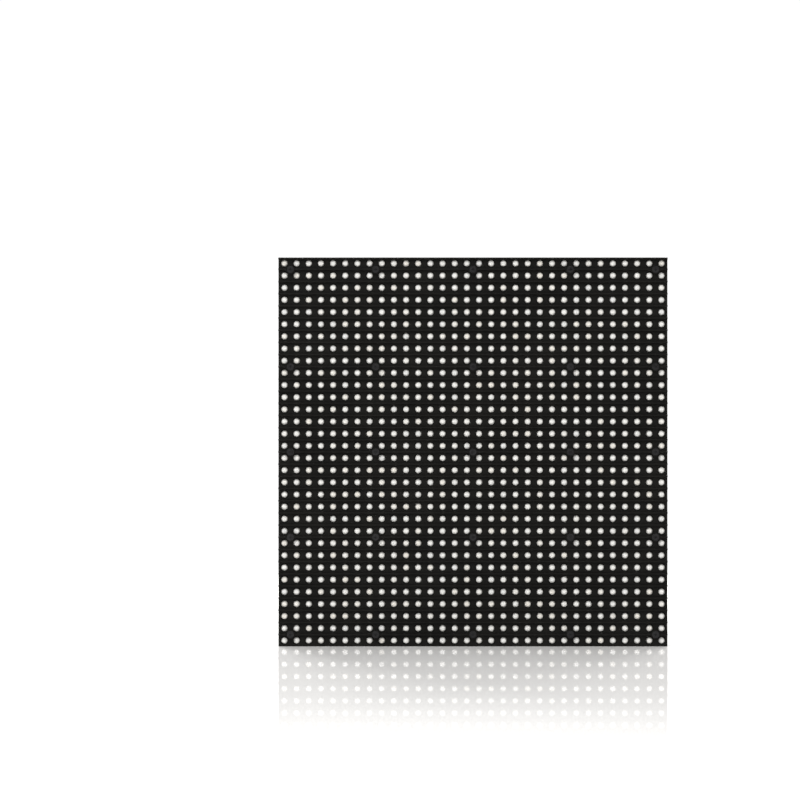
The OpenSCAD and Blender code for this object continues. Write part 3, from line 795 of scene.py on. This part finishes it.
class MakeInserts(bpy.types.Operator):
    """Makes the brass inserts with their threads"""

    bl_idname = "led_module.make_inserts"
    bl_label = "Threaded inserts"

    def execute(self, context):
        metals = context.scene.led_metals
        shapes, inside = [], []
        for low, high in solids("threaded_inserts"):
            shape, own = threaded_insert(low, high, metals.thread_pitch, metals.thread_depth)
            shapes.append(shape)
            inside += own
        mesh = mesh_from("inserts", *joined(shapes))
        mesh.attributes.new("bore", "FLOAT", "POINT").data.foreach_set("value", inside)
        mesh.materials.append(brass_material(metals))
        piece = new_object("inserts", mesh)
        finish_piece(piece, "insert_brass", "threaded_inserts")
        return {"FINISHED"}


def threaded_insert(low, high, pitch, depth, bore=1.65 * MM, sides=24):
    """One blind insert between those corners, and for each of its points 1 in the threaded bore or 0."""
    middle = (low + high) / 2
    outer = (high.x - low.x) / 2
    top, bottom = high.y, low.y
    corner, chamfer, end = 0.2 * MM, 0.35 * MM, 0.8 * MM
    profile = [(outer, bottom, 0), (outer, top - corner, 0), (outer - corner, top, 0),
               (bore + depth + chamfer, top, 0)]
    step = pitch / 6
    steps = int((top - bottom - chamfer - end) / step)
    profile += [(bore, top - chamfer - step * k, 1) for k in range(steps + 1)]
    rings = []
    for radius, y, threaded in profile:
        ring = []
        for k in range(sides):
            angle = 2 * math.pi * k / sides
            phase = (y / pitch + k / sides) % 1
            # The factor over 2 gives the grooves of the thread flat bottoms.
            own = radius + threaded * depth * min(1, 2.4 * abs(phase - 0.5))
            ring.append((middle.x + own * math.cos(angle), y, middle.z + own * math.sin(angle)))
        rings.append(ring)
    return skinned(rings), [float(threaded) for _, _, threaded in profile for _ in range(sides)]


class FinishBoard(bpy.types.Operator):
    """Gives the circuit board its solder mask"""

    bl_idname = "led_module.finish_board"
    bl_label = "Circuit board"

    def execute(self, context):
        paint(board_material(context.scene.led_board, context.scene.led_leds.pitch), "circuit_board")
        return {"FINISHED"}


def bundles(chance):
    """Groups of tracks side by side that run across the board and step aside together."""
    bands = ((-74, -47), (-38, -4), (4, 38), (47, 74))  # between the ribs, in mm from the centre
    in_each, gap, reach = 9, 0.52 * MM, 75 * MM
    margin, stagger = 6 * MM, 0.8 * MM
    lines = []
    for low, high in bands:
        for _ in range(in_each):
            z = CENTRE_Z + chance.uniform(low, high) * MM
            start = chance.uniform(-reach, reach * 0.4)
            end = min(reach, start + chance.uniform(28, 95) * MM)
            bend = chance.uniform(start + margin, end - margin)
            shift = chance.choice((-1, 1)) * chance.uniform(1.2, 3.2) * MM
            for k in range(chance.randint(2, 6)):
                own = z + k * gap
                # Each turns a little before its neighbour, so the gap stays even through the step.
                corner = bend - math.copysign(k * gap * 0.42, shift)
                late = (k % 2) * stagger
                lines.append([(start + late, own), (corner, own), (corner + abs(shift), own + shift),
                              (end - late, own + shift)])
    return lines


def fan_outs(feet, chance):
    """A short track from each foot, and the via where it ends."""
    shortest, longer, under = 0.55 * MM, 0.5 * MM, 0.3 * MM
    lines, vias = [], []
    for number, (x, z, way_x, way_z) in enumerate(feet):
        run = shortest + longer * (number % 3)
        end = (x + way_x * run, z + way_z * run)
        line = [(x - way_x * under, z - way_z * under), end]
        if number % 4 == 3:
            slant = chance.choice((0.5, 0.8)) * MM
            end = (end[0] + (way_x or 1) * slant, end[1] + (way_z or 1) * slant)
            line.append(end)
        lines.append(line)
        vias.append(end)
    return lines, vias


def via_ring(outer, lift, sides=8):
    """Points and faces of a ring whose hole is half as wide as it is."""
    section = [(outer, -lift), (outer, lift), (outer / 2, lift), (outer / 2, -lift)]
    corners = len(section)
    faces = [
        (r * sides + k, r * sides + (k + 1) % sides,
         (r + 1) % corners * sides + (k + 1) % sides, (r + 1) % corners * sides + k)
        for r in range(corners) for k in range(sides)
    ]
    return turned(section, sides)[0], faces


class MakeTracks(bpy.types.Operator):
    """Makes the raised copper tracks and the vias"""

    bl_idname = "led_module.make_tracks"
    bl_label = "Tracks and vias"

    def execute(self, context):
        settings = context.scene.led_board
        chance = random.Random(settings.seed)
        short, vias = fan_outs(lead_feet() + pin_feet(), chance)
        long_lines = bundles(chance)
        for line in long_lines:
            vias += [line[0], line[-1]]
        over_copper = cased("track_mask", settings.copper_green, 0.27, 1.12, scale=500.0)
        tracks = strips("tracks", short + long_lines, settings.track_width,
                        2 * settings.track_height, BOARD_BACK, over_copper)
        finish_piece(tracks, "circuit_board")
        ring = via_ring(settings.via_diameter / 2, settings.track_height * 1.5)
        places = [((x, BOARD_BACK, z), (1, 1, 1)) for x, z in vias]
        over_via = cased("via_mask", scaled(settings.copper_green, 1.7), 0.27, 1.1)
        finish_piece(cluster("vias", ring, places, over_via), "circuit_board")
        return {"FINISHED"}


class MakeTestPads(bpy.types.Operator):
    """Makes the tinned test pads above and below the chips"""

    bl_idname = "led_module.make_test_pads"
    bl_label = "Test pads"

    def execute(self, context):
        settings = context.scene.led_board
        chance = random.Random(settings.seed + 1)
        disc = turned([(0.5, -0.5), (0.5, 0.5)], 8)
        columns, left_out, thickness = (-1.6, -0.6, 0.5, 1.6), 0.4, 0.08 * MM
        places = []
        for node in ("led_drivers", "signal_buffers", "row_decoder"):
            for low, high in solids(node):
                middle = (low.x + high.x) / 2
                for edge, way in ((high.z, 1), (low.z, -1)):
                    for across in columns:
                        if chance.random() < left_out:
                            continue
                        x = middle + (across + chance.uniform(-0.3, 0.3)) * MM
                        z = edge + way * chance.uniform(0.8, 2.2) * MM
                        wide, long = (chance.uniform(0.4, 1.1) * MM for _ in range(2))
                        places.append(((x, BOARD_BACK, z), (wide, thickness, long)))
        tin = plated("pad_tin", context.scene.led_metals.tin, 0.30, 1300.0)
        finish_piece(cluster("test_pads", disc, places, tin), "tinned_lead")
        return {"FINISHED"}


ARROWS = ((38.1, 51.8, 0), (39.8, -35.7, 90), (37.7, -50.8, 0))  # mm across, mm up, degrees turned


def arrow(x, z, turn, low, high):
    """Points and faces of a printed arrow at (x, z), in mm from the centre."""
    head, stem, tall, barb = 2.35, 0.95, 3.3, 0.5
    outline = [(0, tall), (-head, barb), (-stem, barb), (-stem, -tall),
               (stem, -tall), (stem, barb), (head, barb)]
    c, s = math.cos(math.radians(turn)), math.sin(math.radians(turn))
    return plate([((x + c * u - s * v) * MM, CENTRE_Z + (z + s * u + c * v) * MM) for u, v in outline],
                 low, high)


def first_pin_dot(corner, low, high, radius=0.32 * MM):
    """Points and faces of the printed dot beside a chip's corner."""
    x, z = corner.x + 0.9 * MM, corner.z + 0.5 * MM
    angles = [k * math.pi / 5 for k in range(10)]
    return plate([(x + radius * math.cos(a), z + radius * math.sin(a)) for a in angles], low, high)


class MakePrint(bpy.types.Operator):
    """Makes the white print: arrows, outlines and the marks of the first pins"""

    bl_idname = "led_module.make_print"
    bl_label = "White print"

    def execute(self, context):
        settings = context.scene.led_board
        white = cased("print_ink", settings.print_white, 0.6, 1.06, scale=700.0)
        top = BOARD_BACK + settings.print_height
        base = BOARD_BACK - settings.print_height
        shapes = [arrow(x, z, turn, base, top) for x, z, turn in ARROWS]
        lines = []
        for node, room in (("led_drivers", 0.35), ("signal_buffers", 0.35), ("row_decoder", 0.4)):
            for low, high in solids(node):
                for z, way in ((low.z - room * MM, -1), (high.z + room * MM, 1)):
                    hook = z - way * 0.1 * MM
                    lines.append([(low.x, hook), (low.x, z), (high.x, z), (high.x, hook)])
                shapes.append(first_pin_dot(high, base, top))
        for node, room in (("row_switches", 0.3), ("power_header", 0.5),
                           ("diode_bodies", 0.6), ("resistor_arrays", 0.45)):
            for low, high in solids(node):
                x0, x1 = low.x - room * MM, high.x + room * MM
                z0, z1 = low.z - room * MM, high.z + room * MM
                lines.append([(x0, z0), (x1, z0), (x1, z1), (x0, z1), (x0, z0)])
        filter_capacitors, filter_resistors, _ = filter_parts()
        for low, high in (solids("chip_capacitors") + solids("chip_resistors")
                          + filter_capacitors + filter_resistors):
            for x in (low.x - 0.3 * MM, high.x + 0.3 * MM):
                lines.append([(x, low.z - 0.5 * MM), (x, high.z + 0.5 * MM)])
        marks = new_object("print_marks", mesh_from("print_marks", *joined(shapes)))
        marks.data.materials.append(white)
        finish_piece(marks, "circuit_board")
        outlines = strips("print_outlines", lines, settings.print_width,
                          2 * settings.print_height, BOARD_BACK, white)
        finish_piece(outlines, "circuit_board")
        return {"FINISHED"}


def mound():
    """Points and faces of a mound of solder, one wide and one long, that narrows to its top."""
    corners = [(-0.5, -0.5), (0.5, -0.5), (0.5, 0.5), (-0.5, 0.5)]
    levels = ((-0.5, 1.0), (0.35, 0.92), (1.0, 0.68))
    return skinned([[(x * share, y, z * share) for x, z in corners] for y, share in levels])


def joint(x, z, size):
    """The place on the board and the size of a mound whose size is given in mm."""
    return (x, BOARD_BACK, z), tuple(side * MM for side in size)


class MakeSolder(bpy.types.Operator):
    """Makes the solder at every lead, pin and end cap"""

    bl_idname = "led_module.make_solder"
    bl_label = "Solder"

    def execute(self, context):
        under_lead, under_pin = 0.28 * MM, 0.8 * MM
        places = []
        for x, z, way_x, way_z in lead_feet():
            size = (1.15, 0.13, 0.40) if way_x else (0.62, 0.13, 1.25)
            places.append(joint(x - way_x * under_lead, z - way_z * under_lead, size))
        for x, z, way_x, _ in pin_feet():
            places.append(joint(x - way_x * under_pin, z, (2.6, 0.22, 1.1)))
        for boxes, height, wider, longer in (
                (end_boxes(), 0.3, 0.35, 0.35),
                (solids("diode_caps") + solids("capacitor_leads"), 0.35, 0.9, 0.2)):
            for low, high in boxes:
                middle, span = (low + high) / 2, (high - low) / MM
                places.append(joint(middle.x, middle.z, (span.x + wider, height, span.z + longer)))
        solder = plated("solder", context.scene.led_metals.tin, 0.24, 1300.0)
        finish_piece(cluster("solder_joints", mound(), places, solder), "tinned_lead")
        return {"FINISHED"}


class FinishChips(bpy.types.Operator):
    """Gives the chips, their leads and the headers their finishes"""

    bl_idname = "led_module.finish_chips"
    bl_label = "Chips and headers"

    def execute(self, context):
        plastics, metals = context.scene.led_plastics, context.scene.led_metals
        paint(cased("chip_compound", plastics.chip, 0.55, 1.3, specular=0.25, scale=2200.0),
              "led_drivers", "row_switches", "signal_buffers", "row_decoder")
        tin = plated("tinned", metals.tin, 0.30, 1300.0)
        paint(tin, "led_driver_leads", "row_switch_leads", "signal_buffer_leads", "row_decoder_leads",
              "power_pins", "capacitor_leads", "diode_caps", "chip_terminals", "resistor_array_terminals")
        paint(moulded("connector_nylon", plastics.connector, 0.36, plastics.grain, 0.12 * MM, specular=0.25),
              "data_in_header", "data_out_header", "power_header", "capacitor_base")
        # The pins' dark tone is partly dull plating and partly painted shade from inside the header.
        paint(plated("pin_plating_and_shade", metals.pin_shade_tone, 0.26, 1300.0), "data_in_pins", "data_out_pins")
        return {"FINISHED"}


def can_sector():
    """Points and faces of the printed sector on top of the capacitor's can."""
    low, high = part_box("capacitor_can")
    middle, radius = (low + high) / 2, (high.x - low.x) / 2 * 0.93
    half = math.radians(62)
    arc = [(middle.x - radius * math.cos(a), middle.z + radius * math.sin(a))
           for a in (half * (k / 8 - 1) for k in range(17))]
    return plate(arc, high.y - 0.01 * MM, high.y + 0.02 * MM)


def chip_block(bevel=0.08):
    """Points and faces of a block one long each way, with its upright corners cut."""
    side = 0.5 - bevel
    return plate([(-side, -0.5), (side, -0.5), (0.5, -side), (0.5, side),
                  (side, 0.5), (-side, 0.5), (-0.5, side), (-0.5, -side)], -0.5, 0.5)


class FinishSmallParts(bpy.types.Operator):
    """Finishes the capacitor, diodes, resistors and chip capacitors, and makes the filter parts"""

    bl_idname = "led_module.finish_small_parts"
    bl_label = "Small parts"

    def execute(self, context):
        metals = context.scene.led_metals
        paint(plated("can_aluminium", metals.can, 0.30, 700.0), "capacitor_can")
        mark = new_object("can_mark", mesh_from("can_mark", *can_sector()))
        mark.data.materials.append(cased("can_ink", metals.ink, 0.5))
        finish_piece(mark, "can_aluminium")
        paint(cased("diode_glass", metals.glass, 0.14, 1.2), "diode_bodies")
        ceramic = cased("ceramic_body", metals.ceramic, 0.50, 1.2)
        glaze = cased("resistor_glaze", metals.glaze, 0.3, 1.3)
        tin = plated("filter_tin", metals.tin, 0.30, 1300.0)
        paint(ceramic, "chip_capacitors")
        paint(glaze, "chip_resistors", "resistor_arrays")
        for name, boxes, material, slot in zip(
                ("filter_capacitors", "filter_resistors", "filter_end_caps"), filter_parts(),
                (ceramic, glaze, tin), ("capacitor_ceramic", "resistor_body", "tinned_lead")):
            places = [((low + high) / 2, high - low) for low, high in boxes]
            finish_piece(cluster(name, chip_block(), places, material), slot)
        return {"FINISHED"}


# ---- Stage ----

# Where each soft box stands, its width and height, and its power in watts.
LIGHTS = {
    "key": ((-1.0, -1.5, 1.5), (1.2, 1.2), 28),
    "fill": ((1.3, -1.6, 0.7), (1.2, 1.2), 8),
    "overhead": ((0, 0.1, 2.0), (2.4, 2.4), 27),
    "back_left": ((0.46, 1.15, 0.35), (0.4, 1.2), 15),
    "back_right": ((-0.46, 1.15, 0.35), (0.4, 1.2), 23),
}


def soft_light(name, place, size, power):
    """A soft box that faces the middle of the module."""
    lamp = bpy.data.lights.new(name, "AREA")
    lamp.shape = "RECTANGLE"
    lamp.size, lamp.size_y = size
    lamp.energy = power
    light = new_object(name, lamp)
    light.location = place
    light.rotation_mode = "QUATERNION"
    light.rotation_quaternion = (Vector((0, 0, CENTRE_Z)) - Vector(place)).to_track_quat("-Z", "Y")


def floor_material(settings):
    """A pale floor: its reflection fades away from the module, and far out it becomes the backdrop."""
    material = bpy.data.materials.new("studio_floor")
    material.use_nodes = True
    tree = material.node_tree
    tree.nodes.clear()
    where = add(tree, "ShaderNodeTexCoord").outputs["Object"]
    out_of = calc(tree, "ABSOLUTE", add(tree, "ShaderNodeSeparateXYZ", {0: where}).outputs["Y"])
    share = add(tree, "ShaderNodeMapRange", {
        0: out_of, 1: settings.fade / 7, 2: settings.fade, 3: settings.mirror, 4: 0.0},
        interpolation_type="SMOOTHSTEP").outputs[0]
    matt = add(tree, "ShaderNodeBsdfDiffuse", {"Color": rgba(settings.floor)})
    gloss = add(tree, "ShaderNodeBsdfAnisotropic", {"Color": (1, 1, 1, 1), "Roughness": 0.0})
    both = add(tree, "ShaderNodeMixShader", {0: share, 1: matt.outputs[0], 2: gloss.outputs[0]})
    away = add(tree, "ShaderNodeVectorMath", {0: where}, operation="LENGTH").outputs["Value"]
    seen = add(tree, "ShaderNodeLightPath").outputs["Is Camera Ray"]
    far = calc(tree, "MULTIPLY", ramp(tree, away, settings.cove_start, settings.cove_end), seen)
    white = add(tree, "ShaderNodeEmission", {"Color": (1, 1, 1, 1), "Strength": settings.backdrop})
    cove = add(tree, "ShaderNodeMixShader", {0: far, 1: both.outputs[0], 2: white.outputs[0]})
    add(tree, "ShaderNodeOutputMaterial", {0: cove.outputs[0]})
    return material


def studio_world(settings):
    """White all round: full where it is seen, and dimmer as a light, above all in glossy surfaces."""
    dim, held_back = 0.34, 0.2
    world = bpy.data.worlds.new("studio")
    world.use_nodes = True
    tree = world.node_tree
    tree.nodes.clear()
    path = add(tree, "ShaderNodeLightPath").outputs
    seen = calc(tree, "MAXIMUM", path["Is Camera Ray"], path["Is Singular Ray"])
    light = calc(tree, "SUBTRACT", dim, calc(tree, "MULTIPLY", path["Is Glossy Ray"], held_back))
    strength = calc(tree, "MAXIMUM", light, calc(tree, "MULTIPLY", seen, settings.backdrop))
    back = add(tree, "ShaderNodeBackground", {0: (1, 1, 1, 1), 1: strength})
    add(tree, "ShaderNodeOutputWorld", {0: back.outputs[0]})
    return world


def front_camera(settings):
    """A camera straight in front of the mask."""
    camera = bpy.data.cameras.new("camera")
    camera.lens = settings.lens
    camera.shift_x, camera.shift_y = settings.shift
    camera.clip_start, camera.clip_end = 0.01, 50
    distance = settings.view_width * settings.lens / camera.sensor_width
    seen_from = new_object("camera", camera)
    seen_from.location = (0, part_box("mask")[0].y - distance, CENTRE_Z)
    seen_from.rotation_euler = (math.pi / 2, 0, 0)
    return seen_from


class MakeStage(bpy.types.Operator):
    """Makes the floor, the soft light and the camera"""

    bl_idname = "led_module.make_stage"
    bl_label = "Stage"

    def execute(self, context):
        settings = context.scene.led_stage
        reach = 1.1
        corners = [(-reach, -reach, 0), (reach, -reach, 0), (reach, reach, 0), (-reach, reach, 0)]
        floor = new_object("floor", mesh_from("floor", corners, [(0, 1, 2, 3)]))
        if floor.data.polygons[0].normal.z < 0:
            floor.data.flip_normals()
        floor.data.materials.append(floor_material(settings))
        for name, (place, size, power) in LIGHTS.items():
            soft_light(name, place, size, power)
        context.scene.world = studio_world(settings)
        context.scene.camera = front_camera(settings)
        context.scene.view_settings.view_transform = "Standard"
        return {"FINISHED"}


# ---- Registration ----

OPERATORS = (
    MakeLeds, FinishMask, FinishCase, MakeInserts, FinishBoard, MakeTracks, MakeTestPads, MakePrint,
    MakeSolder, FinishChips, FinishSmallParts, MakeStage,
)
SETTINGS = {
    "led_leds": LedSettings,
    "led_plastics": PlasticSettings,
    "led_board": BoardSettings,
    "led_metals": MetalSettings,
    "led_stage": StageSettings,
}


class ModulePanel(bpy.types.Panel):
    """Lists the steps that build the module's looks"""

    bl_idname = "VIEW3D_PT_led_module"
    bl_label = "LED Module"
    bl_space_type = "VIEW_3D"
    bl_region_type = "UI"
    bl_category = "LED Module"

    def draw(self, context):
        for operator in OPERATORS:
            self.layout.operator(operator.bl_idname)
        for name, group in SETTINGS.items():
            box = self.layout.box()
            for key in group.__annotations__:
                box.prop(getattr(context.scene, name), key)


def register():
    for group in SETTINGS.values():
        bpy.utils.register_class(group)
    for name, group in SETTINGS.items():
        setattr(bpy.types.Scene, name, PointerProperty(type=group))
    for owner in (*OPERATORS, ModulePanel):
        bpy.utils.register_class(owner)


def unregister():
    for owner in (ModulePanel, *reversed(OPERATORS)):
        bpy.utils.unregister_class(owner)
    for name, group in SETTINGS.items():
        delattr(bpy.types.Scene, name)
        bpy.utils.unregister_class(group)


def main():
    register()
    for operator in OPERATORS:
        group, name = operator.bl_idname.split(".")
        getattr(getattr(bpy.ops, group), name)()


if __name__ == "__main__":
    main()
